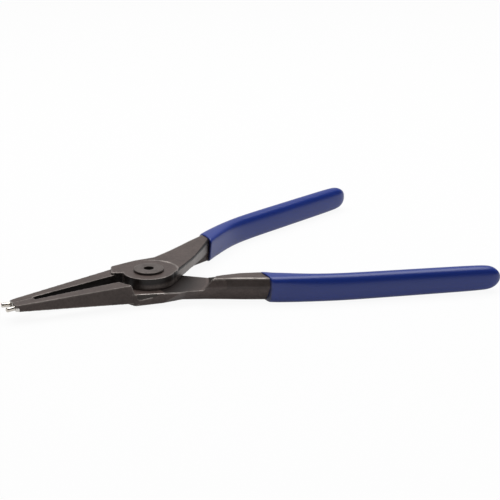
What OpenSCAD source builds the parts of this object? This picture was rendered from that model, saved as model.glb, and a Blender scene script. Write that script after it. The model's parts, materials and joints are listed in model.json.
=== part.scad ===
// External circlip pliers, 225 mm long, lying flat with the jaws closed.
// Both halves are one forging: the lower half is the upper half turned over about
// the tool's long axis. X runs from the tips (-X) to the handles (+X), Z is up, the
// pivot is the Z axis and Z = 0 is the surface that the pliers lie on.

/* [Jaws] */
// Pivot to the nose of the jaws
jaw_reach = 68.6; // [55:0.1:80]
// Distance from the pivot at which the jaw runs into the joint
jaw_root = 10; // [8:0.5:12]
// Outer edge of one jaw from the middle of the pliers, at the nose
nose_half_w = 4.7; // [4.4:0.1:6]
// Outer edge of one jaw from the middle of the pliers, at the root
root_half_w = 13.2; // [12:0.1:14]
// Thickness of the jaw at the nose
nose_t = 3.1; // [2.9:0.1:4.5]
// Thickness of the jaw at the root
root_t = 9.6; // [8:0.1:10]
// Gap between the closed jaws
jaw_gap = 0.2; // [0.1:0.05:0.6]
// Length of the flat pads that meet at the nose
pad_len = 10.5; // [8:0.5:16]
// Depth of the step behind each pad
pad_step = 1.5; // [0.5:0.1:2]
// Half width of the open slot between the jaws, at the root
slot_half_w = 4.9; // [4:0.1:6]
// Width of the chamfer on the outer corner of the nose
nose_chamfer = 0.9; // [0.3:0.1:1]
// Length of that chamfer along the jaw
nose_chamfer_len = 2; // [0.5:0.1:4]

/* [Tips] */
// Diameter of the hardened tips
tip_d = 2.2; // [2.2:0.1:2.4]
// Length of tip outside the jaw
tip_out = 4.3; // [4:0.1:8]
// Diameter of the shank pressed into the jaw
shank_d = 1.5; // [1.3:0.1:1.7]
// Length of the shank pressed into the jaw
shank_len = 7; // [5:0.5:8]
// Outward lean of each tip, degrees
tip_lean = 10; // [6:1:12]
// Tip axis at the nose, from the middle of the pliers
tip_off = 2.65; // [2.5:0.05:2.8]
// Chamfer on the end of each tip
tip_chamfer = 0.3; // [0.1:0.1:0.6]

/* [Joint] */
// Thickness of each lap plate at the pivot
plate_t = 5.6; // [4.8:0.1:5.8]
// Radius of the lap plate on its open side
boss_r = 12.4; // [11:0.1:13.5]
// Gap between the two lap faces
lap_gap = 0.1; // [0.05:0.05:0.3]
// Radius at which the full thickness of the jaw starts
jaw_start_r = 18; // [16:0.5:20]
// Distance ahead of the pivot at which the raised outer side of the jaw meets the lap face
jaw_wall = 13; // [12:0.5:16]
// Distance that this end of the jaw leans forward over the thickness of the plate
jaw_wall_run = 2; // [1:0.5:3]
// Length by which the front corner of the lap plate oversails the jaw
plate_front = 1; // [0.6:0.1:1.4]
// Radius at which the handle's shoulder starts at the lap face
shoulder_r = 28.5; // [26:0.5:30]
// Distance that the shoulder leans back over the thickness of the plate
shoulder_run = 4.5; // [2:0.5:6]
// Radius of the machined seat round the rivet
seat_r = 14; // [9:0.5:15]
// Depth of the machined seat below the forged handle face
seat_depth = 0.3; // [0.1:0.1:0.6]
// Slope of the ground facet on the outer edge of the lap face, degrees
facet_slope = 58; // [45:1:65]

/* [Rivet] */
// Diameter of the rivet's shank
rivet_d = 9; // [7:0.5:11]
// Diameter of the rivet's flat heads
rivet_head_d = 14.4; // [12:0.1:17]
// Running clearance of the rivet in the upper half, on the radius
rivet_clearance = 0.05; // [0.02:0.01:0.1]
// Gap under the upper head
head_gap = 0.05; // [0.02:0.01:0.1]
// Diameter of the drilled centre of the upper head
rivet_hole_d = 4.8; // [3:0.1:6]
// Depth of the drilled centre
rivet_hole_depth = 5; // [2:0.5:8]
// Chamfer on the rims of the heads
rivet_chamfer = 0.3; // [0.1:0.1:0.6]

/* [Handles] */
// Pivot to the front rim of the sleeves, along the tool
rim_x = 45; // [43:0.5:48]
// Middle of the handle from the middle of the pliers, at the rim
rim_y = 31.4; // [31:0.1:33]
// Direction of the handle at the rim, degrees from the tool's axis
rim_angle = 36.5; // [35:0.5:38]
// Direction of the straight end of the handle, degrees from the tool's axis
end_angle = 17.4; // [15:0.1:19]
// Radius of the bend between the two directions
bend_r = 130; // [115:1:150]
// Pivot to the end of the handles, along the tool
handle_reach = 151.8; // [140:0.2:175]
// Half width of the tang inside the sleeve
tang_half_w = 3.2; // [2.5:0.1:3.4]
// Half height of the tang inside the sleeve
tang_half_t = 5.5; // [4.5:0.1:5.6]

/* [Sleeves] */
// Overall height of the sleeves
sleeve_h = 13.8; // [13.6:0.1:16]
// Height of the sleeves at their far end
sleeve_end_h = 12.5; // [11.6:0.1:13.4]
// Width of the sleeves along the handles
sleeve_w = 8.5; // [8:0.1:10]
// Length of the rounded far end
sleeve_dome = 8.5; // [6:0.5:14]
// Clearance between the tang and its sleeve
sleeve_clearance = 0.05; // [0.02:0.01:0.1]
// Solid end of the sleeve past the tang
sleeve_plug = 7; // [4:0.5:12]

/* [Hidden] */
$fn = 96;

// Height of the lap faces above the surface, and the forged face of the handles
lap_z = sleeve_h / 2;
forged_t = plate_t + seat_depth;
past = 1;

// Straight line through two points, at a place between or beyond them
function along(x, x0, x1, y0, y1) = y0 + (y1 - y0) * (x - x0) / (x1 - x0);
function clamp01(v) = min(1, max(0, v));
function ease(v) = let (c = clamp01(v)) c * c * (3 - 2 * c);

// Handle path: an arc from the rim's direction to the end's, then a straight
bend_turn = rim_angle - end_angle;
bend_len = bend_r * bend_turn * PI / 180;
bend_end = [
    rim_x + bend_r * (sin(rim_angle) - sin(end_angle)),
    rim_y + bend_r * (cos(end_angle) - cos(rim_angle))
];
path_len = bend_len + (handle_reach - bend_end[0]) / cos(end_angle);
function path_angle(s) = rim_angle - bend_turn * clamp01(s / bend_len);
function path_point(s) =
    s < bend_len
        ? let (a = path_angle(s))
            [rim_x + bend_r * (sin(rim_angle) - sin(a)), rim_y + bend_r * (cos(a) - cos(rim_angle))]
        : bend_end + (s - bend_len) * [cos(end_angle), sin(end_angle)];

// A ring across the path: it lies square to the tool at the rim and square to the path further on
turn_in = 16;
function ring_angle(s) = path_angle(s) * ease(s / turn_in);
function on_path(s, across, z) =
    let (a = ring_angle(s), c = path_point(s), stretch = 1 / cos(path_angle(s) - a))
    [c[0] - across * stretch * sin(a), c[1] + across * stretch * cos(a), z];

// Facet on the outer edge of the lap face: its front corner, its direction and its length
facet_from = [-12.5, 12.9];
facet_turn = 19.8;
facet_len = 13;

// Skin over rings of points that all have the same count
module loft(rings) {
    n = len(rings[0]);
    m = len(rings);
    sides = [
        for (i = [0:m - 2], j = [0:n - 1])
            let (a = i * n + j, b = i * n + (j + 1) % n)
            each [[a, b, b + n], [a, b + n, a + n]]
    ];
    front = [for (j = [n - 1:-1:0]) j];
    back = [for (j = [0:n - 1]) (m - 1) * n + j];
    polyhedron([for (r = rings) each r], concat([front], sides, [back]), convexity = 6);
}

// Ten-point forging section, from the inner top edge round the outside to the inner side
function section(top_in, top_flat, face_out, part_out, foot_out, foot_in, mid_in, edge_z, mid_z, h, c) = [
    [top_in, edge_z],
    [top_flat, h],
    [face_out - c, h],
    [face_out, h - c],
    [part_out, part_z],
    [foot_out, c - h],
    [foot_out - c, -h],
    [foot_in + c, -h],
    [foot_in, c - h],
    [mid_in, mid_z]
];

// Neck of the forging, by stations along the tool: outer edge of the plate's face, parting line on the
// outer side, inner edge of the plate's face, inner edge of the lap face, inner edge of the far face
part_z = -1.9;
edge_break = 0.7;
neck_front = 21;
neck_stations = [
    [-neck_front, 12.4, 11.8, 7.2, 7.2, 7.4],
    [-12, 14.5, 14.9, 3, 3, 6],
    [0, 16.5, 18, -4, -4, 8],
    [10, 15.8, 22, -7.7, -7.7, 14],
    [12.8, 17, 23, -5.4, -5, 16],
    [20, 20.4, 25.4, 0.5, 1.8, 21.4],
    [28, 24.8, 28.8, 7.2, 9.2, 21.8],
    [36, 29.4, 32.8, 15.6, 16.8, 23.2]
];
// Straight front of the lap plate, by the directions of its two corners from the pivot
front_out_turn = 43.5;
front_in_turn = 17.2;
front_out = (jaw_start_r + plate_front) * [-cos(front_out_turn), sin(front_out_turn)];
front_in = (jaw_start_r - lap_gap) * [-cos(front_in_turn), sin(front_in_turn)];
// The inner edge of the plate's face stays just under it, then rolls over towards the sleeve
lip_drop = 0.1;
lap_drop = 0.2;
roll_start = 24;
rim_roll = 0.8;
function roll(x) = rim_roll * pow(clamp01((x - roll_start) / (rim_x - roll_start)), 1.5);
function neck_ring(s) =
    let (x = s[0], d = roll(x), h = plate_t + seat_depth * ease(x / seat_r))
    [
        for (q = section(s[3], s[3] + edge_break + d, s[1], s[2], s[2] - edge_break, s[5], s[4],
                         h - lip_drop - d, -lap_drop - d / 4, h, edge_break))
            [x, q[0], q[1]]
    ];

// Tang from the rim to the end of the metal; it shrinks from the neck's section over its first stretch
tang_shrink = 14;
tang_end = path_len - sleeve_dome - sleeve_plug;
tang_bend_steps = 3;
tang_steps = concat(
    [0, 4, 8, 11, tang_shrink],
    [for (i = [1:tang_bend_steps]) along(i, 0, tang_bend_steps, tang_shrink, bend_len)]
);
rim_section = section(-5.9, -4.5, 2.6, 6.4, 5.6, -4.7, -5.5, 4.9, -1.1, forged_t, edge_break);
tang_edge = 1.2;
tang_crown = 0.2;
tang_taper = 0.15;
end_section = section(
    -tang_half_w, tang_edge - tang_half_w, tang_half_w, tang_half_w + tang_crown, tang_half_w,
    -tang_half_w, -tang_half_w - tang_crown, tang_half_t - tang_edge, 0, tang_half_t, tang_edge
);
function tang_ring(s, grow) =
    let (f = ease(s / tang_shrink), k = along(ease(s / turn_in), 0, 1, cos(rim_angle), 1),
         t = 1 - tang_taper * clamp01((s - tang_shrink) / (tang_end - tang_shrink)))
    [
        for (i = [0:len(rim_section) - 1])
            let (q = (rim_section[i] * (1 - f) + end_section[i] * f) * t)
            on_path(s, (q[0] + grow * sign(q[0])) * k, q[1] + grow * sign(q[1]))
    ];

// Rounded sleeve section, boxy at the rim and rounder along the handle
sleeve_points = 28;
sleeve_power = 2.6;
rim_power = 3.6;
rim_fade = 30;
function lobe(v, s) =
    let (power = along(ease(s / rim_fade), 0, 1, rim_power, sleeve_power))
    sign(v) * pow(abs(v), 2 / power);
function sleeve_ring(s, half_w, half_h, lean) = [
    for (i = [0:sleeve_points - 1])
        let (a = 90 - 360 * (i + 0.5) / sleeve_points, up = lobe(sin(a), s),
             shift = (1 - ease(s / rim_fade)) * (lean[0] * max(0, up) + lean[1] * max(0, -up)))
        on_path(s, half_w * lobe(cos(a), s) - shift, half_h * up)
];
// Inward shift of the dipped rim at its top and at its bottom, on each sleeve as it was dipped
upper_rim_lean = [1.8, 0];
lower_rim_lean = [0, -0.9];
// Sizes along the sleeve: thin lip at the rim, full height after the swell, domed far end
rim_half_w = 7.3 * cos(rim_angle);
rim_lip = 0.8;
rim_half_h = forged_t + rim_lip;
swell = 9;
function dome(s) = let (d = clamp01((s - path_len + sleeve_dome) / sleeve_dome)) sqrt(1 - d * d);
function sleeve_half_w(s) = dome(s) * along(ease(s / rim_fade), 0, 1, rim_half_w, sleeve_w / 2);
function sleeve_half_h(s) =
    let (full = along(clamp01((s - swell) / (path_len - swell)), 0, 1, sleeve_h / 2, sleeve_end_h / 2))
    dome(s) * along(ease(s / swell), 0, 1, rim_half_h, full);
rim_steps = [0, 1.5, 3, 5, 7, swell, 12, 15, 18, 22, 26, rim_fade];
bend_steps = 3;
straight_steps = 5;
dome_steps = 7;
dome_sweep = 88;
bend_past = bend_len + 2;
dome_start = path_len - sleeve_dome;
sleeve_steps = concat(
    rim_steps,
    [for (i = [1:bend_steps]) along(i, 0, bend_steps, rim_fade, bend_past)],
    [for (i = [1:straight_steps]) along(i, 0, straight_steps, bend_past, dome_start)],
    [for (i = [1:dome_steps]) dome_start + sleeve_dome * sin(dome_sweep * i / dome_steps)]
);

// Flat jaw that tapers in width and in thickness
module jaw() {
    intersection() {
        translate([0, 0, -root_t])
            linear_extrude(2 * root_t)
                polygon([
                    [-jaw_reach, jaw_gap / 2],
                    [pad_len - jaw_reach, jaw_gap / 2],
                    [pad_len - jaw_reach, jaw_gap / 2 + pad_step],
                    [-jaw_root, slot_half_w],
                    [-jaw_root, root_half_w],
                    [nose_chamfer_len - jaw_reach, nose_half_w],
                    [-jaw_reach, nose_half_w - nose_chamfer]
                ]);
        rotate([90, 0, 0])
            translate([0, 0, -2 * root_half_w])
                linear_extrude(2 * root_half_w + past)
                    polygon([
                        [-jaw_reach, -nose_t / 2],
                        [-jaw_reach, nose_t / 2],
                        [-jaw_root, root_t / 2],
                        [-jaw_root, -root_t / 2]
                    ]);
    }
}

// Neck and tang in one skin, with the front of the lap plate cut straight across
module neck() {
    intersection() {
        loft(concat(
            [for (s = neck_stations) neck_ring(s)],
            [for (s = tang_steps) tang_ring(s, 0)],
            [tang_ring(tang_end, 0)]
        ));
        union() {
            linear_extrude(2 * plate_t)
                polygon([[past, -boss_r], front_in, front_out, [past, 2 * boss_r]]);
            translate([0, -handle_reach, -2 * plate_t])
                cube([2 * handle_reach, 2 * handle_reach, 4 * plate_t]);
        }
    }
}

// Room under the plate for the other half, with sloped ends against the jaw and the handle's shoulder
module lap_room() {
    depth = forged_t + past;
    top = lap_gap / 2;
    translate([0, 0, -depth])
        cylinder(r = jaw_start_r, h = depth + top);
    intersection() {
        translate([0, 0, -depth])
            cylinder(r1 = shoulder_r + shoulder_run * depth / forged_t, r2 = shoulder_r, h = depth + top);
        rotate([90, 0, 0])
            translate([0, 0, -2 * shoulder_r])
                linear_extrude(4 * shoulder_r)
                    polygon([
                        [-jaw_wall, past],
                        [-jaw_wall, 0],
                        [-jaw_wall - jaw_wall_run * depth / forged_t, -depth],
                        [2 * shoulder_r, -depth],
                        [2 * shoulder_r, past]
                    ]);
    }
}

// Ground facet along the outer edge of the lap face, ahead of the pivot
module edge_facet() {
    translate([facet_from[0], facet_from[1], 0])
        rotate([0, 0, facet_turn])
            rotate([facet_slope, 0, 0])
                translate([0, 0, -forged_t])
                    cube([facet_len, 2 * forged_t, forged_t]);
}

// A tip's own axis runs along Z from the face of the nose
module at_tip() {
    translate([-jaw_reach, tip_off, 0])
        rotate([0, 0, -tip_lean])
            rotate([0, -90, 0])
                children();
}

// One forging with the lap plate on top, lap face at Z = 0
module half(bore_r) {
    difference() {
        union() {
            jaw();
            neck();
            cylinder(r = boss_r, h = plate_t);
        }
        lap_room();
        edge_facet();
        translate([0, 0, plate_t])
            cylinder(r = seat_r, h = past);
        translate([0, 0, -past])
            cylinder(r = bore_r, h = plate_t + 2 * past);
        at_tip()
            translate([0, 0, -shank_len])
                cylinder(d = shank_d, h = shank_len + past);
    }
}

// Turned steel pin with a chamfered end; its shoulder just clears the face of the nose
module tip() {
    shoulder = tip_d / 2 * tan(tip_lean);
    at_tip()
        rotate_extrude()
            polygon([
                [0, -shank_len],
                [shank_d / 2, -shank_len],
                [shank_d / 2, shoulder],
                [tip_d / 2, shoulder],
                [tip_d / 2, tip_out - tip_chamfer],
                [tip_d / 2 - tip_chamfer, tip_out],
                [0, tip_out]
            ]);
}

// Dipped sleeve, closed at its far end, on the tang
module sleeve(lean) {
    difference() {
        loft([for (s = sleeve_steps) sleeve_ring(s, sleeve_half_w(s), sleeve_half_h(s), lean)]);
        loft(concat(
            [[for (p = tang_ring(0, sleeve_clearance)) p - [past, past * tan(rim_angle), 0]]],
            [for (s = tang_steps) tang_ring(s, sleeve_clearance)],
            [tang_ring(tang_end + sleeve_clearance, sleeve_clearance)]
        ));
    }
}

module raise() {
    translate([0, 0, lap_z])
        children();
}

module turn_over() {
    rotate([180, 0, 0])
        children();
}

module upper_half() {
    color("dimgray")
        raise() half(rivet_d / 2 + rivet_clearance);
}

module lower_half() {
    color("dimgray")
        raise() turn_over() half(rivet_d / 2);
}

module pivot_rivet() {
    head_r = rivet_head_d / 2;
    top = lap_z - head_gap;
    color("gray")
        raise()
            rotate_extrude()
                polygon([
                    [0, -lap_z],
                    [head_r - rivet_chamfer, -lap_z],
                    [head_r, rivet_chamfer - lap_z],
                    [head_r, -plate_t],
                    [rivet_d / 2, -plate_t],
                    [rivet_d / 2, plate_t + head_gap],
                    [head_r, plate_t + head_gap],
                    [head_r, top - rivet_chamfer],
                    [head_r - rivet_chamfer, top],
                    [rivet_hole_d / 2, top],
                    [rivet_hole_d / 2, top - rivet_hole_depth],
                    [0, top - rivet_hole_depth]
                ]);
}

module upper_tip() {
    color("silver")
        raise() tip();
}

module lower_tip() {
    color("silver")
        raise() turn_over() tip();
}

module upper_sleeve() {
    color("midnightblue")
        raise() sleeve(upper_rim_lean);
}

module lower_sleeve() {
    color("midnightblue")
        raise() turn_over() sleeve(lower_rim_lean);
}

upper_half();
lower_half();
pivot_rivet();
upper_tip();
lower_tip();
upper_sleeve();
lower_sleeve();
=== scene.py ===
import json
import math

import bpy
from mathutils import Matrix, Vector
from mathutils.kdtree import KDTree


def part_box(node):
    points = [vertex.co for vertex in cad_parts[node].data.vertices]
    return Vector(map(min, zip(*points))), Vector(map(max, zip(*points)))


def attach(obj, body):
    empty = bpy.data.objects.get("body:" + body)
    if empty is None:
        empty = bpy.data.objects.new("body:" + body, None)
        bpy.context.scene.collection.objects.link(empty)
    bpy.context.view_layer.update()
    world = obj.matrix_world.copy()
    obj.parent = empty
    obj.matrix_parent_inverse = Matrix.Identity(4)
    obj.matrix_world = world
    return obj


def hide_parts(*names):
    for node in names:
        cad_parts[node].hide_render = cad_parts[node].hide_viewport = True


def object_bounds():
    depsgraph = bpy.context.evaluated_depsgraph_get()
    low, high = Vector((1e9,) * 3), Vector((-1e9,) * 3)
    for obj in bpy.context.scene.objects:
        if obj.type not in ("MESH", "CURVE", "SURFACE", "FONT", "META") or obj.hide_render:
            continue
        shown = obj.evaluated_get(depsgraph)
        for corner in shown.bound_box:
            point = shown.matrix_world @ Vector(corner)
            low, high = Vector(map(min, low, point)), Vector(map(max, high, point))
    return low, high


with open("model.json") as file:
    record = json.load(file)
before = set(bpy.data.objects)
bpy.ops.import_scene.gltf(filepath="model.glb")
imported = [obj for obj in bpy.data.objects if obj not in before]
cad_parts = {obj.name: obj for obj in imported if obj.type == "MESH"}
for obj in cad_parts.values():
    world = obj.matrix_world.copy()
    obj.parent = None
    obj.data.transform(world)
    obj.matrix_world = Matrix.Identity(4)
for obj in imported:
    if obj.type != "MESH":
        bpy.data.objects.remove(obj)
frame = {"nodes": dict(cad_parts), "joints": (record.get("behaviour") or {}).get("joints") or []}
cadLow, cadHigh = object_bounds()
mm = 0.001
lapHeight = frame["joints"][0]["pos_m"][2]  # the lap faces, half way up the pivot
print("frame loaded")


# Shader maths: a socket that takes + - and * in Python
class Wire:
    def __init__(self, tree, socket=None):
        self.tree = tree
        self.socket = socket

    def node(self, kind, settings=None, inputs=None, output=0):
        made = self.tree.nodes.new(kind)
        for name, value in (settings or {}).items():
            if name == "stops":
                setStops(made.color_ramp, value)
            else:
                setattr(made, name, value)
        for name, value in (inputs or {}).items():
            if isinstance(value, Wire):
                self.tree.links.new(value.socket, made.inputs[name])
            else:
                made.inputs[name].default_value = value
        return Wire(self.tree, made.outputs[output]) if made.outputs else None

    def maths(self, operation, first, second):
        return self.node("ShaderNodeMath", {"operation": operation}, {0: first, 1: second})

    def __add__(self, other):
        return self.maths("ADD", self, other)

    def __radd__(self, other):
        return self.maths("ADD", other, self)

    def __sub__(self, other):
        return self.maths("SUBTRACT", self, other)

    def __rsub__(self, other):
        return self.maths("SUBTRACT", other, self)

    def __mul__(self, other):
        return self.maths("MULTIPLY", self, other)

    def __rmul__(self, other):
        return self.maths("MULTIPLY", other, self)


def setStops(ramp, stops):  # stops are pairs of place and grey level
    while len(ramp.elements) > len(stops):
        ramp.elements.remove(ramp.elements[-1])
    while len(ramp.elements) < len(stops):
        ramp.elements.new(1.0)
    for element, (place, level) in zip(ramp.elements, stops):
        element.position = place
        element.color = (level, level, level, 1)


def newFinish(name):
    material = bpy.data.materials.new(name)
    material.use_nodes = True
    material.node_tree.nodes.clear()
    return material, Wire(material.node_tree)


mixSockets = {"share": 0, "first": 6, "second": 7, "result": 2}  # of a Mix node set to colours
noiseMiddle = 0.5  # the level that a noise swings round


def blendColour(wire, share, first, second):
    inputs = {mixSockets["share"]: share, mixSockets["first"]: first, mixSockets["second"]: second}
    return wire.node("ShaderNodeMix", {"data_type": "RGBA"}, inputs, output=mixSockets["result"])


def noiseOn(wire, place, size, detail=3.0, roughness=0.55):  # size of one blotch in mm
    inputs = {"Vector": place, "Scale": 1 / (size * mm), "Detail": detail, "Roughness": roughness}
    return wire.node("ShaderNodeTexNoise", inputs=inputs)


def paintOn(wire, name):  # a number that was painted on the mesh
    return wire.node("ShaderNodeAttribute", {"attribute_name": name}, output="Fac")


def bumpOn(wire, height, strength, depth):  # depth in mm
    inputs = {"Strength": strength, "Distance": depth * mm, "Height": height}
    return wire.node("ShaderNodeBump", inputs=inputs)


def surface(wire, inputs):
    shader = wire.node("ShaderNodeBsdfPrincipled", inputs=inputs)
    wire.node("ShaderNodeOutputMaterial", inputs={"Surface": shader})


# Phosphated forging: dark warm grey, cloudy, lighter where edges are rubbed and where highlights are
# painted, near black where shade is painted
forgingLook = {
    "dark": (0.072, 0.053, 0.047, 1),
    "light": (0.126, 0.094, 0.084, 1),
    "rubbed": (0.50, 0.46, 0.43, 1),
    "sheltered": (0.017, 0.013, 0.012, 1),  # painted shade: near black where shade falls
    "cloud": 7.0,  # mm
    "cloudStops": [(0.32, 0.0), (0.68, 1.0)],
    "cloudBase": 0.2,  # share of the light colour in the darkest cloud
    "cloudRange": 0.6,  # and how much more of it in the lightest
    "fleck": 1.1,  # mm
    "fleckRange": 1.4,
    "grain": 0.45,  # mm
    "grainDepth": 0.03,  # mm
    "grainStrength": 0.5,
    "specular": 0.32,
    "roughness": 0.4,
    "roughGrain": 0.16,  # how much the grain changes it
    "roughRubbed": 0.06,  # how much smoother bare steel is
    "rubbedShare": 0.8,  # how bare the edges are
    "rubbedStops": [(0.3, 0.25), (0.62, 1.0)],  # that wear is patchy
    "shadeHidesWear": 0.8,  # of that wear and painted highlight that painted shade takes away
    "rings": 0.0,  # mm between turned marks round the pivot, none on a forging
    "ringHeight": 0.5,  # next to the grain
}


def ringsOn(wire, place, pitch):
    flat = wire.node("ShaderNodeVectorMath", {"operation": "MULTIPLY"}, {0: place, 1: (1, 1, 0)})
    radius = wire.node("ShaderNodeVectorMath", {"operation": "LENGTH"}, {0: flat}, output="Value")
    turns = radius * (2 * math.pi / (pitch * mm))
    return wire.node("ShaderNodeMath", {"operation": "SINE"}, {0: turns})


def forgingFinish(name, look):
    material, wire = newFinish(name)
    place = wire.node("ShaderNodeTexCoord", output="Object")
    cloud = noiseOn(wire, place, look["cloud"], detail=5.0, roughness=0.62)
    fleck = noiseOn(wire, place, look["fleck"], detail=2.0)
    grain = noiseOn(wire, place, look["grain"], detail=2.0)
    clouds = wire.node("ShaderNodeValToRGB", {"stops": look["cloudStops"]}, {"Fac": cloud})
    patches = wire.node("ShaderNodeValToRGB", {"stops": look["rubbedStops"]}, {"Fac": cloud})
    # painted shade, and edge wear with painted highlights, both painted on the mesh
    sheltered = paintOn(wire, "sheltered")
    rubGlintShare = paintOn(wire, "rubbed") * patches * look["rubbedShare"] * (1 - look["shadeHidesWear"] * sheltered)
    tone = look["cloudBase"] + look["cloudRange"] * clouds + look["fleckRange"] * (fleck - noiseMiddle)
    coating = blendColour(wire, tone, look["dark"], look["light"])
    coating = blendColour(wire, sheltered, coating, look["sheltered"])
    rough = look["roughness"] + look["roughGrain"] * (grain - noiseMiddle) - look["roughRubbed"] * rubGlintShare
    height = grain
    if look["rings"]:
        height = grain + look["ringHeight"] * ringsOn(wire, place, look["rings"])
    surface(wire, {
        "Base Color": blendColour(wire, rubGlintShare, coating, look["rubbed"]),
        "Roughness": rough,
        "Normal": bumpOn(wire, height, look["grainStrength"], look["grainDepth"]),
        "Metallic": rubGlintShare,
        "Specular IOR Level": look["specular"],
    })
    return material


# Milled wall of the neck: brighter steel with fine cutter marks
milledLook = {
    "dark": (0.14, 0.124, 0.116, 1),
    "light": (0.25, 0.226, 0.212, 1),
    "cloud": 5.0,  # mm
    "cloudShare": 0.6,
    "marks": 0.35,  # mm between cutter marks
    "markShare": 0.4,
    "markStretch": (0.12, 0.12, 1.0),
    "markDepth": 0.02,  # mm
    "markStrength": 0.35,
    "metallic": 0.85,
    "roughness": 0.4,
    "roughCloud": 0.12,
}
# Ground end of the jaws
groundLook = dict(
    milledLook, dark=(0.5, 0.48, 0.45, 1), light=(0.75, 0.73, 0.7, 1), cloud=1.2,
    metallic=1.0, roughness=0.2,
)
# Ground facet on the edge of the lap face
facetLook = dict(
    milledLook, dark=(0.05, 0.042, 0.038, 1), light=(0.20, 0.18, 0.165, 1), cloud=2.4,
    metallic=0.5,
)


def milledFinish(name, look):
    material, wire = newFinish(name)
    place = wire.node("ShaderNodeTexCoord", output="Object")
    cloud = noiseOn(wire, place, look["cloud"], detail=4.0)
    stretched = wire.node("ShaderNodeMapping", inputs={"Vector": place, "Scale": look["markStretch"]})
    marks = noiseOn(wire, stretched, look["marks"], detail=1.0)
    tone = look["cloudShare"] * cloud + look["markShare"] * marks
    surface(wire, {
        "Base Color": blendColour(wire, tone, look["dark"], look["light"]),
        "Roughness": look["roughness"] + look["roughCloud"] * (cloud - noiseMiddle),
        "Normal": bumpOn(wire, marks, look["markStrength"], look["markDepth"]),
        "Metallic": look["metallic"],
    })
    return material


# Dipped plastic: deep glossy blue with a slight orange peel
dipLook = {
    "deep": (0.010, 0.036, 0.268, 1),
    "pale": (0.014, 0.044, 0.318, 1),
    "rim": (0.006, 0.012, 0.10, 1),  # painted shade on the lip at the rim, against the metal
    "cloud": 26.0,  # mm
    "peel": 2.6,  # mm
    "peelDepth": 0.012,  # mm
    "peelStrength": 0.6,
    "scuff": 0.7,  # mm
    "specular": 0.58,
    "roughness": 0.33,
    "roughScuff": 0.1,
}


def dipFinish(name, look):
    material, wire = newFinish(name)
    place = wire.node("ShaderNodeTexCoord", output="Object")
    cloud = noiseOn(wire, place, look["cloud"])
    peel = noiseOn(wire, place, look["peel"], detail=1.5)
    scuff = noiseOn(wire, place, look["scuff"], detail=3.0, roughness=0.7)
    blue = blendColour(wire, cloud, look["deep"], look["pale"])
    # the lip at the rim takes painted shade
    surface(wire, {
        "Base Color": blendColour(wire, paintOn(wire, "sheltered"), blue, look["rim"]),
        "Roughness": look["roughness"] + look["roughScuff"] * (scuff - noiseMiddle),
        "Normal": bumpOn(wire, peel, look["peelStrength"], look["peelDepth"]),
        "Specular IOR Level": look["specular"],
    })
    return material


# Hardened tips: bright turned steel
tipLook = {
    "dark": (0.42, 0.35, 0.28, 1),
    "light": (0.78, 0.75, 0.70, 1),
    "stain": 1.6,  # mm
    "stainBase": 0.35,  # share of the light colour in the darkest stain
    "stainRange": 0.65,
    "marks": 0.18,  # mm between turning marks
    "markStretch": (1.0, 0.05, 0.05),
    "markDepth": 0.01,  # mm
    "markStrength": 0.3,
    "roughness": 0.22,
    "roughStain": 0.2,
}


def tipFinish(name, look):
    material, wire = newFinish(name)
    place = wire.node("ShaderNodeTexCoord", output="Object")
    stretched = wire.node("ShaderNodeMapping", inputs={"Vector": place, "Scale": look["markStretch"]})
    marks = noiseOn(wire, stretched, look["marks"], detail=2.0)
    stain = noiseOn(wire, place, look["stain"], detail=4.0)
    tone = look["stainBase"] + look["stainRange"] * stain
    surface(wire, {
        "Base Color": blendColour(wire, tone, look["dark"], look["light"]),
        "Roughness": look["roughness"] + look["roughStain"] * (stain - noiseMiddle),
        "Normal": bumpOn(wire, marks, look["markStrength"], look["markDepth"]),
        "Metallic": 1.0,
    })
    return material


# Mesh steps that every piece takes
meshSteps = {
    "mergeWithin": 0.0005,  # mm
    "edgeStep": 0.3,  # mm between the points that stand for an edge
    "smoothShare": 0.5,  # of the way that one smoothing pass moves a vertex
}


def onlyActive(piece):
    bpy.ops.object.select_all(action="DESELECT")
    piece.select_set(True)
    bpy.context.view_layer.objects.active = piece


def editAll(piece):  # leaves the piece in edit mode
    onlyActive(piece)
    bpy.ops.object.mode_set(mode="EDIT")
    bpy.ops.mesh.select_all(action="SELECT")


def copyOf(nodeName, pieceName):  # own mesh, with its loose triangles merged
    piece = bpy.data.objects.new(pieceName, frame["nodes"][nodeName].data.copy())
    bpy.context.scene.collection.objects.link(piece)
    piece.data.materials.clear()
    editAll(piece)
    bpy.ops.mesh.remove_doubles(threshold=meshSteps["mergeWithin"] * mm)
    bpy.ops.mesh.customdata_custom_splitnormals_clear()
    bpy.ops.object.mode_set(mode="OBJECT")
    return piece


def selectFaces(piece, wanted):  # leaves the piece in edit mode
    onlyActive(piece)
    bpy.ops.object.mode_set(mode="EDIT")
    bpy.ops.mesh.select_mode(type="FACE")
    bpy.ops.mesh.select_all(action="DESELECT")
    bpy.ops.object.mode_set(mode="OBJECT")
    for face in piece.data.polygons:
        face.select = wanted(face)
    bpy.ops.object.mode_set(mode="EDIT")


def applyModifier(piece, kind, **settings):
    onlyActive(piece)
    modifier = piece.modifiers.new(kind.title(), kind)
    for name, value in settings.items():
        setattr(modifier, name, value)
    bpy.ops.object.modifier_apply(modifier=modifier.name)


def smoothWhere(piece, steps, shareAt):  # shareAt says how far a point takes part
    group = piece.vertex_groups.new(name="smoothed")
    for vertex in piece.data.vertices:
        share = shareAt(vertex.co)
        if share:
            group.add([vertex.index], share, "REPLACE")
    passShare = meshSteps["smoothShare"]
    applyModifier(piece, "SMOOTH", factor=passShare, iterations=steps, vertex_group=group.name)
    piece.vertex_groups.clear()


def slope(value, start, end):  # 0 before start, 1 after end
    return min(1.0, max(0.0, (value - start) / (end - start)))


def standsOut(face, other):  # a corner that sticks out, not a hollow one
    return (other.center - face.center).dot(face.normal) <= 0


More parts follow.
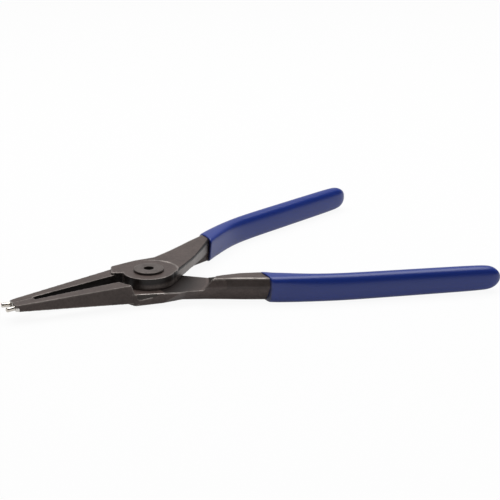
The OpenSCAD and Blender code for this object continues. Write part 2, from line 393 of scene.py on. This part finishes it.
def sharpEdges(mesh, sharp, kept):  # tree of points along the edges that are kept
    sides = {}
    for face in mesh.polygons:
        for key in face.edge_keys:
            sides.setdefault(key, []).append(face)
    points = []
    for (start, end), pair in sides.items():
        if len(pair) != 2 or pair[0].normal.angle(pair[1].normal, 0) < math.radians(sharp):
            continue
        if not kept(*pair):
            continue
        first, last = mesh.vertices[start].co, mesh.vertices[end].co
        steps = max(1, int((last - first).length / (meshSteps["edgeStep"] * mm)))
        points += [first.lerp(last, step / steps) for step in range(steps + 1)]
    tree = KDTree(len(points))
    for index, point in enumerate(points):
        tree.insert(point, index)
    tree.balance()
    return tree


def nearness(tree, point, reach):  # 1 on an edge of the tree, 0 at the reach in mm
    return max(0.0, 1 - tree.find(point)[2] / (reach * mm))


def paint(piece, name, valueOf):  # one number on each vertex, for the finish to read
    layer = piece.data.attributes.new(name, "FLOAT", "POINT")
    for vertex in piece.data.vertices:
        layer.data[vertex.index].value = valueOf(vertex)


def dress(piece, body, node, slot, *materials):
    for material in materials:
        piece.data.materials.append(material)
    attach(piece, body)
    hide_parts(node)


# Forged halves: the solid's own shape with every edge softened
forging = {
    # Shape
    "tangKept": 7.0,  # mm of tang left inside the sleeve
    "voxel": 0.24,  # mm
    "softSteps": 5,  # smoothing passes on every edge
    "broadSteps": 80,  # and on the long faces
    "broad": (0.9, 2.6),  # mm from a crisp edge, where those start and are full
    "crisp": 24.0,  # degrees between the faces at such an edge
    "faces": 0.5,  # share of the faces that is kept
    # Places, in mm along the tool from the pivot
    "noseTo": -66.9,  # ground end of the jaw
    "slotTo": -12.0,
    "jawTo": -9.0,
    "jointTo": 12.0,
    "neckSpan": (13.0, 46.0),
    "bandFrom": 21.0,  # painted highlight band on the handle's outer edge
    "facetSpan": (-14.0, -3.5),
    # Places, in mm from the pivot's axis
    "bossRadius": 13.2,
    "jointRadius": 24.0,
    "shoulderRadius": 27.0,
    # Ways that faces look, as shares of one
    "facetWay": (-0.287, 0.798, -0.53),  # on the upper half
    "facetMatch": 0.95,
    "noseAhead": 0.25,
    "neckInward": 0.55,
    "neckBack": 0.2,
    "milledTilt": 0.45,
    "partingOutward": 0.3,  # the two faces at the parting line
    "partingTilt": 0.66,
    # Edge wear, where the hand rubs edges bare, and painted highlights on some edges and bands
    "sharp": 43.0,  # degrees between the faces at such an edge
    "rub": 0.7,  # mm from the edge
    "jawRub": 0.8,  # share of that wear on the jaws
    "seatRub": 0.15,  # and on the back of the rivet's seat
    "seatReach": (3.0, 8.0),  # mm, where the seat ends
    "seatOut": (4.0, 8.0),  # mm, where its back starts
    "lapEdgeGlint": 1.7,  # painted highlight along the outer edge of the lap face
    "lapEdge": 1.2,  # mm from that face
    "facetGlint": 1.6,  # painted glint round the facet
    "facetFade": (-13.0, -10.0),  # mm, where that starts
    # painted highlight on that band
    "bandGlint": 1.25,
    "bandOutward": 0.2,
    "bandTilt": (0.4, 0.93),
    "bossFootLight": 0.42,  # painted light on the foot of the boss
    "bossOutward": 0.2,
    "bossTilt": 0.3,
    # Painted shade: faces darkened towards near black where shade falls
    "uprightTilt": (0.45, 0.75),  # from a sloping face to an upright one
    "lapShade": 0.3,  # painted shade on the lap face behind the pivot
    "lapRise": 0.4,  # mm
    "lapTilt": 0.9,
    "pivotShade": 0.65,  # more painted shade round the pivot
    "pivotShadeRing": (19.0, 27.0),  # mm from the pivot, where that painted shade fades out
    "sideShade": 0.4,  # painted shade on the handle's outer side, past the parting line
    "sideRise": (0.0, 0.8),  # mm
    "sideOutward": 0.6,
    # painted shade on the shoulder behind the lap face
    "shoulderShade": 0.8,
    "shoulderFacing": (0.35, 0.6),
    # painted shade on the walls of the slot between the jaws
    "slotInward": (0.4, 0.7),
    "jointFade": (-21.0, -20.0),  # mm
    "frontFade": (4.0, 11.0),  # mm ahead of the pivot, front of the lap plate
    "frontAhead": (0.2, 0.4),
    "frontInward": (-0.2, 0.0),
    "bossShade": 0.95,  # painted shade on the boss below its rim
    "bossRise": (1.8, 3.2),  # mm
    "bossInward": (-0.3, 0.1),
    "neckShade": (4.2, 4.5),  # mm above the lap face, where painted shade turns the neck's inner edge black
    "neckShadeInward": 0.2,
    "neckTopTilt": 0.97,
}


def riseOf(point, side):  # mm above the lap face, as the half was forged
    return (point.z - lapHeight) * side / mm


def isNeckWall(face, side):  # inner side of the neck, which faces the other handle
    low, high = forging["neckSpan"]
    looksInward = -face.normal.y * side > forging["neckInward"]
    return low < face.center.x / mm < high and looksInward and face.normal.x > forging["neckBack"]


def isFacet(face, side):
    low, high = forging["facetSpan"]
    x, y, z = forging["facetWay"]
    match = face.normal.dot(Vector((x, y * side, z * side)))
    return low < face.center.x / mm < high and match > forging["facetMatch"]


def isRubbed(face, other, side):  # not the neck's inner edge, nor the parting line along the outer side
    outward = min(face.normal.y * side, other.normal.y * side)
    tilt = max(abs(face.normal.z), abs(other.normal.z))
    parting = outward > forging["partingOutward"] and tilt < forging["partingTilt"]
    inner = isNeckWall(face, side) or isNeckWall(other, side)
    return standsOut(face, other) and not inner and not parting


def finishOf(face, side):  # which of the half's finishes a face takes
    normal, rise = face.normal, riseOf(face.center, side)
    belowNeckShade = 0 < rise < forging["neckShade"][1]
    if isNeckWall(face, side) and belowNeckShade and abs(normal.z) < forging["milledTilt"]:
        return "milled"
    if face.center.x / mm < forging["noseTo"] and -normal.x > forging["noseAhead"] and rise > 0:
        return "ground"
    return "facet" if isFacet(face, side) else "forged"


def edgeWearAndGlintAt(point, side):  # less edge wear on the jaws and the back of the seat than on the handles, and a painted highlight along the lap face's outer edge
    reach, out = point.x / mm, point.y * side / mm
    if reach < forging["jawTo"]:
        return forging["jawRub"]
    if abs(riseOf(point, side)) < forging["lapEdge"] and out > 0:
        return forging["lapEdgeGlint"]
    seat = (1 - slope(reach, *forging["seatReach"])) * slope(out, *forging["seatOut"])
    return 1 - (1 - forging["seatRub"]) * seat


def rubAndGlintOf(vertex, side, edges, facetEdges):  # painted highlights on the handle's band and the foot of the boss, then edge wear with painted edge highlights
    point, reach = vertex.co, vertex.co.x / mm
    outward, lapward = vertex.normal.y * side, -vertex.normal.z * side
    low, high = forging["bandTilt"]
    if reach > forging["bandFrom"] and outward > forging["bandOutward"] and low < lapward < high:
        return forging["bandGlint"]
    onBoss = point.xy.length / mm < forging["bossRadius"] and abs(reach) < forging["jointTo"]
    if onBoss and abs(lapward) < forging["bossTilt"] and outward < forging["bossOutward"]:
        return forging["bossFootLight"] * (1 - slope(riseOf(point, side), *forging["bossRise"]))
    edgeWearAndGlint = edgeWearAndGlintAt(point, side)
    facetGlintShare = forging["facetGlint"] * slope(reach, *forging["facetFade"])
    return max(
        edgeWearAndGlint * nearness(edges, point, forging["rub"]),
        facetGlintShare * nearness(facetEdges, point, forging["rub"]),
    )


def jointShade(reach, rise, ahead, inward):  # painted shade on the front of the lap plate, and on the boss below its rim
    front = slope(-reach, *forging["frontFade"]) * slope(ahead, *forging["frontAhead"])
    front *= slope(inward, *forging["frontInward"])
    boss = slope(rise, *forging["bossRise"]) * slope(inward, *forging["bossInward"])
    return slope(reach, *forging["jointFade"]) * max(front, forging["bossShade"] * boss)


def paintedShadeOf(vertex, side):  # how much painted shade, towards near black, a vertex takes
    normal, flat = vertex.normal, vertex.co.xy
    reach, radius, rise = flat.x / mm, flat.length / mm, riseOf(vertex.co, side)
    inward, lapward = -normal.y * side, -normal.z * side
    upright = slope(1 - abs(normal.z), *forging["uprightTilt"])
    behind = reach > 0
    onLap = rise < forging["lapRise"] and lapward > forging["lapTilt"]
    # painted shade on the lap face behind the pivot, darkest round the pivot
    if behind and onLap and radius < forging["shoulderRadius"]:
        return forging["lapShade"] + forging["pivotShade"] * (1 - slope(radius, *forging["pivotShadeRing"]))
    if reach > forging["shoulderRadius"] and -inward > forging["sideOutward"]:
        return forging["sideShade"] * slope(-rise, *forging["sideRise"])
    if behind and rise < 0 and radius > forging["shoulderRadius"]:
        facing = -normal.xy.dot(flat.normalized())
        return forging["shoulderShade"] * slope(facing, *forging["shoulderFacing"])
    if reach < forging["slotTo"] and inward > forging["slotInward"][0]:
        return upright * slope(inward, *forging["slotInward"])
    if reach < forging["jointTo"] and radius < forging["jointRadius"]:
        return upright * jointShade(reach, rise, -normal.x, inward)
    low, high = forging["neckSpan"]
    if low < reach < high and inward > forging["neckShadeInward"] and -lapward < forging["neckTopTilt"]:
        return slope(rise, *forging["neckShade"])
    return 0.0


def cutTang(half):  # the sleeve hides the rest of it
    sleeveLow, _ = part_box("upper_sleeve")
    cut = sleeveLow.x + forging["tangKept"] * mm
    editAll(half)
    bpy.ops.mesh.bisect(plane_co=(cut, 0, 0), plane_no=(1, 0, 0), use_fill=True, clear_outer=True)
    bpy.ops.object.mode_set(mode="OBJECT")


def makeHalf(nodeName, body, side, finishes):
    half = copyOf(nodeName, nodeName + "_forged")
    edges = sharpEdges(half.data, forging["sharp"], lambda face, other: isRubbed(face, other, side))
    facetEdges = sharpEdges(
        half.data, forging["crisp"], lambda face, other: isFacet(face, side) != isFacet(other, side),
    )
    crispEdges = sharpEdges(half.data, forging["crisp"], lambda face, other: True)
    cutTang(half)
    applyModifier(half, "REMESH", mode="VOXEL", voxel_size=forging["voxel"] * mm)
    applyModifier(half, "SMOOTH", factor=meshSteps["smoothShare"], iterations=forging["softSteps"])
    smoothWhere(
        half, forging["broadSteps"], lambda point: slope(crispEdges.find(point)[2] / mm, *forging["broad"]),
    )
    applyModifier(half, "DECIMATE", ratio=forging["faces"])
    onlyActive(half)
    bpy.ops.object.shade_smooth()
    # edge wear, with painted highlights on the band, the lap edge, the facet and the boss
    paint(half, "rubbed", lambda vertex: rubAndGlintOf(vertex, side, edges, facetEdges))
    paint(half, "sheltered", lambda vertex: paintedShadeOf(vertex, side))
    dress(half, body, nodeName, "phosphated_steel", *finishes.values())
    order = list(finishes)
    for face in half.data.polygons:
        face.material_index = order.index(finishOf(face, side))
    print(nodeName, "forged,", len(half.data.polygons), "faces")


halfFinishes = {
    "forged": forgingFinish("forgedSteel", forgingLook),
    "milled": milledFinish("milledSteel", milledLook),
    "ground": milledFinish("groundSteel", groundLook),
    "facet": milledFinish("facetSteel", facetLook),
}
makeHalf("upper_half", "upper_body", 1, halfFinishes)
makeHalf("lower_half", "lower_body", -1, halfFinishes)


# Rivet and tips: turned parts with broken edges
turning = {
    "rivetEdge": 0.22,  # mm
    "tipEdge": 0.1,  # mm
    "segments": 3,
    "flat": 0.5,  # degrees between triangles of one face
    "sharp": 30.0,  # degrees between faces at an edge that is broken
    "rub": 0.35,  # mm from such an edge
    "wallShade": 0.9,  # painted shade on upright walls, towards near black
    "wallTilt": (0.4, 0.9),
}


def makeTurned(nodeName, body, slot, edge, finish):
    piece = copyOf(nodeName, nodeName + "_turned")
    edges = sharpEdges(piece.data, turning["sharp"], standsOut)
    editAll(piece)
    bpy.ops.mesh.dissolve_limited(angle_limit=math.radians(turning["flat"]))
    bpy.ops.object.mode_set(mode="OBJECT")
    applyModifier(
        piece, "BEVEL", width=edge * mm, segments=turning["segments"], limit_method="ANGLE",
        angle_limit=math.radians(turning["sharp"]), use_clamp_overlap=False,
    )
    onlyActive(piece)
    bpy.ops.object.shade_smooth_by_angle(angle=math.radians(turning["sharp"]))
    paint(piece, "rubbed", lambda vertex: nearness(edges, vertex.co, turning["rub"]))
    # painted shade on upright walls
    paint(
        piece, "sheltered",
        lambda vertex: turning["wallShade"] * slope(1 - abs(vertex.normal.z), *turning["wallTilt"]),
    )
    dress(piece, body, nodeName, slot, finish)
    print(nodeName, "turned")


rivetLook = dict(
    forgingLook, dark=(0.060, 0.044, 0.039, 1), light=(0.094, 0.071, 0.063, 1), rubbedShare=0.35, rings=0.45,
)
rivetSteel = forgingFinish("rivetSteel", rivetLook)
tipSteel = tipFinish("tipSteel", tipLook)
makeTurned("pivot_rivet", "lower_body", "rivet_steel", turning["rivetEdge"], rivetSteel)
makeTurned("upper_tip", "upper_body", "tip_steel", turning["tipEdge"], tipSteel)
makeTurned("lower_tip", "lower_body", "tip_steel", turning["tipEdge"], tipSteel)


# Dipped sleeves: the outer skin of the solid, closed at the rim by a lip on the metal
dipping = {
    "rimFlat": 0.02,  # mm between the rim and its own plane
    "rimAhead": 0.9,
    "quadAngle": 60.0,  # degrees
    "lip": 0.72,  # size of the lip's mouth next to the rim
    "levels": 2,
    "roundSteps": 120,  # smoothing passes that round the corners of the section
    "rounded": (1.0, 6.0),  # mm behind the rim, where those start and are full
    "rimDark": (0.05, 0.35),  # mm behind the rim, where the painted shade on the lip ends
}


def outerSkin(nodeName, pieceName, rimX):  # the solid without its front face and its pocket
    solid = copyOf(nodeName, pieceName)
    selectFaces(solid, lambda face: (
        abs(face.center.x - rimX) < dipping["rimFlat"] * mm and -face.normal.x > dipping["rimAhead"]
    ))
    bpy.ops.mesh.delete(type="FACE")
    bpy.ops.mesh.select_all(action="SELECT")
    bpy.ops.mesh.separate(type="LOOSE")
    bpy.ops.object.mode_set(mode="OBJECT")
    *pockets, skin = sorted(bpy.context.selected_objects, key=lambda shell: shell.dimensions.length)
    for pocket in pockets:
        bpy.data.objects.remove(pocket)
    skin.name = pieceName
    return skin


def closeRim(skin):
    editAll(skin)
    turn = math.radians(dipping["quadAngle"])
    bpy.ops.mesh.tris_convert_to_quads(face_threshold=turn, shape_threshold=turn)
    bpy.ops.mesh.select_mode(type="EDGE")
    bpy.ops.mesh.select_all(action="DESELECT")
    bpy.ops.mesh.select_non_manifold(
        extend=False, use_wire=False, use_boundary=True, use_multi_face=False,
        use_non_contiguous=False, use_verts=False,
    )
    bpy.ops.object.mode_set(mode="OBJECT")
    rim = [vertex.co.copy() for vertex in skin.data.vertices if vertex.select]
    rimMiddle = sum(rim, Vector()) / len(rim)
    bpy.ops.object.mode_set(mode="EDIT")
    bpy.ops.mesh.extrude_region_move()
    bpy.ops.transform.resize(value=(1, dipping["lip"], dipping["lip"]), center_override=rimMiddle)
    bpy.ops.mesh.edge_face_add()
    bpy.ops.mesh.select_all(action="SELECT")
    bpy.ops.mesh.normals_make_consistent(inside=False)
    bpy.ops.object.mode_set(mode="OBJECT")


def makeSleeve(nodeName, body, finish):
    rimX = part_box(nodeName)[0].x
    sleeve = outerSkin(nodeName, nodeName + "_dipped", rimX)
    closeRim(sleeve)
    applyModifier(sleeve, "SUBSURF", levels=dipping["levels"], render_levels=dipping["levels"])
    smoothWhere(
        sleeve, dipping["roundSteps"], lambda point: slope((point.x - rimX) / mm, *dipping["rounded"]),
    )
    # painted shade on the lip at the rim
    paint(
        sleeve, "sheltered", lambda vertex: 1 - slope((vertex.co.x - rimX) / mm, *dipping["rimDark"]),
    )
    onlyActive(sleeve)
    bpy.ops.object.shade_smooth()
    dress(sleeve, body, nodeName, "blue_dip", finish)
    print(nodeName, "dipped,", len(sleeve.data.polygons), "faces")


blueDip = dipFinish("blueDip", dipLook)
makeSleeve("upper_sleeve", "upper_body", blueDip)
makeSleeve("lower_sleeve", "lower_body", blueDip)


# Studio: white floor, dim room with a pale backdrop and ceiling, one softbox
studio = {
    "floorSize": 60.0,  # m
    "floorWhite": 0.95,
    "floorBounce": 0.7,  # of the light that it throws back at the pliers
    "whiteShare": 0.93,  # of the floor's look that takes no shadow
    "glossShare": 0.6,  # of that white in reflections
    "roomLevel": 0.05,
    "backdropWay": (0.476, 0.879, 0.0),  # pale backdrop behind the pliers
    "backdropFade": (0.5, 0.88),
    "backdropLevel": 0.44,
    "ceilingLevel": 0.2,  # above and behind, not on the right
    "ceilingRise": (0.45, 0.75),
    "ceilingBehind": (-0.45, -0.05),
    "ceilingRight": (0.35, 0.7),
    "boxSize": (1.3, 0.9),  # m
    "boxPower": 11.2,  # W
    "boxAzimuth": -28.0,
    "boxElevation": 102.0,  # a little behind the pliers
    "boxDistance": 1.0,  # m
}


def direction(azimuth, elevation):  # azimuth 0 stands in front, on the -Y side
    turn, rise = math.radians(azimuth), math.radians(elevation)
    flat = math.cos(rise)
    return Vector((math.sin(turn) * flat, -math.cos(turn) * flat, math.sin(rise)))


def makeFloor():
    bpy.ops.object.select_all(action="DESELECT")
    bpy.ops.mesh.primitive_plane_add(size=studio["floorSize"], location=(0, 0, cadLow.z))
    floor = bpy.context.active_object
    floor.name = "floor"
    material, wire = newFinish("floorWhite")
    white, bounce = studio["floorWhite"], studio["floorBounce"]
    seen = (
        wire.node("ShaderNodeLightPath", output="Is Camera Ray")
        + wire.node("ShaderNodeLightPath", output="Is Glossy Ray") * studio["glossShare"]
        + wire.node("ShaderNodeLightPath", output="Is Transmission Ray")
    )
    colour = blendColour(wire, seen, (bounce, bounce, bounce, 1), (white, white, white, 1))
    matt = wire.node("ShaderNodeBsdfDiffuse", inputs={"Color": colour})
    glow = wire.node("ShaderNodeEmission", inputs={"Color": (1, 1, 1, 1), "Strength": 1.0})
    lit = wire.node("ShaderNodeMixShader", inputs={0: seen * studio["whiteShare"], 1: matt, 2: glow})
    below = wire.node("ShaderNodeNewGeometry", output="Backfacing")  # clear when seen from under it
    clear = wire.node("ShaderNodeBsdfTransparent")
    shader = wire.node("ShaderNodeMixShader", inputs={0: below, 1: lit, 2: clear})
    wire.node("ShaderNodeOutputMaterial", inputs={"Surface": shader})
    floor.data.materials.append(material)


def makeRoom():
    world = bpy.data.worlds.new("room")
    world.use_nodes = True
    world.node_tree.nodes.clear()
    bpy.context.scene.world = world
    wire = Wire(world.node_tree)
    place = wire.node("ShaderNodeTexCoord", output="Generated")
    rise = wire.node("ShaderNodeSeparateXYZ", inputs={"Vector": place}, output="Z")
    right = wire.node("ShaderNodeSeparateXYZ", inputs={"Vector": place}, output="X")
    behind = wire.node(
        "ShaderNodeVectorMath", {"operation": "DOT_PRODUCT"},
        {0: place, 1: studio["backdropWay"]}, output="Value",
    )

    def fade(value, start, end):
        soft = {"interpolation_type": "SMOOTHSTEP"}
        return wire.node("ShaderNodeMapRange", soft, {"Value": value, "From Min": start, "From Max": end})

    backdrop = fade(behind, *studio["backdropFade"])
    overhead = fade(rise, *studio["ceilingRise"]) * fade(behind, *studio["ceilingBehind"])
    ceiling = overhead * (1 - fade(right, *studio["ceilingRight"]))
    level = studio["roomLevel"] + backdrop * studio["backdropLevel"] + ceiling * studio["ceilingLevel"]
    room = wire.node("ShaderNodeBackground", inputs={"Color": (1, 1, 1, 1), "Strength": level})
    wire.node("ShaderNodeOutputWorld", inputs={"Surface": room})


def makeSoftbox(target):
    bpy.ops.object.select_all(action="DESELECT")
    aim = direction(studio["boxAzimuth"], studio["boxElevation"])
    bpy.ops.object.light_add(type="AREA", location=target + aim * studio["boxDistance"])
    box = bpy.context.active_object
    box.name = "softbox"
    box.data.shape = "RECTANGLE"
    box.data.size, box.data.size_y = studio["boxSize"]
    box.data.energy = studio["boxPower"]
    box.rotation_mode = "QUATERNION"
    box.rotation_quaternion = (-aim).to_track_quat("-Z", "Y")


photoView = {
    "azimuth": -28.44,
    "elevation": 19.53,
    "roll": 0.2,
    "target": (63.62, 16.89),  # mm along the tool and across it, at the lap faces
    "distance": 833.5,  # mm
    "lens": 120.0,
    "sensor": 36.0,
    "clip": (0.01, 100.0),  # m
}


def makeCamera(target):
    aim = direction(photoView["azimuth"], photoView["elevation"])
    bpy.ops.object.select_all(action="DESELECT")
    bpy.ops.object.camera_add(location=target + aim * photoView["distance"] * mm)
    camera = bpy.context.active_object
    camera.name = "photoCamera"
    roll = Matrix.Rotation(math.radians(photoView["roll"]), 3, "Z")
    turn = (-aim).to_track_quat("-Z", "Y").to_matrix() @ roll
    camera.rotation_mode = "QUATERNION"
    camera.rotation_quaternion = turn.to_quaternion()
    camera.data.lens = photoView["lens"]
    camera.data.sensor_width = photoView["sensor"]
    camera.data.clip_start, camera.data.clip_end = photoView["clip"]
    bpy.context.scene.camera = camera


makeFloor()
makeRoom()
viewAlong, viewAcross = photoView["target"]
viewTarget = Vector((viewAlong * mm, viewAcross * mm, lapHeight))
makeCamera(viewTarget)
makeSoftbox(viewTarget)
bpy.context.scene.view_settings.view_transform = "Standard"
print("studio ready")
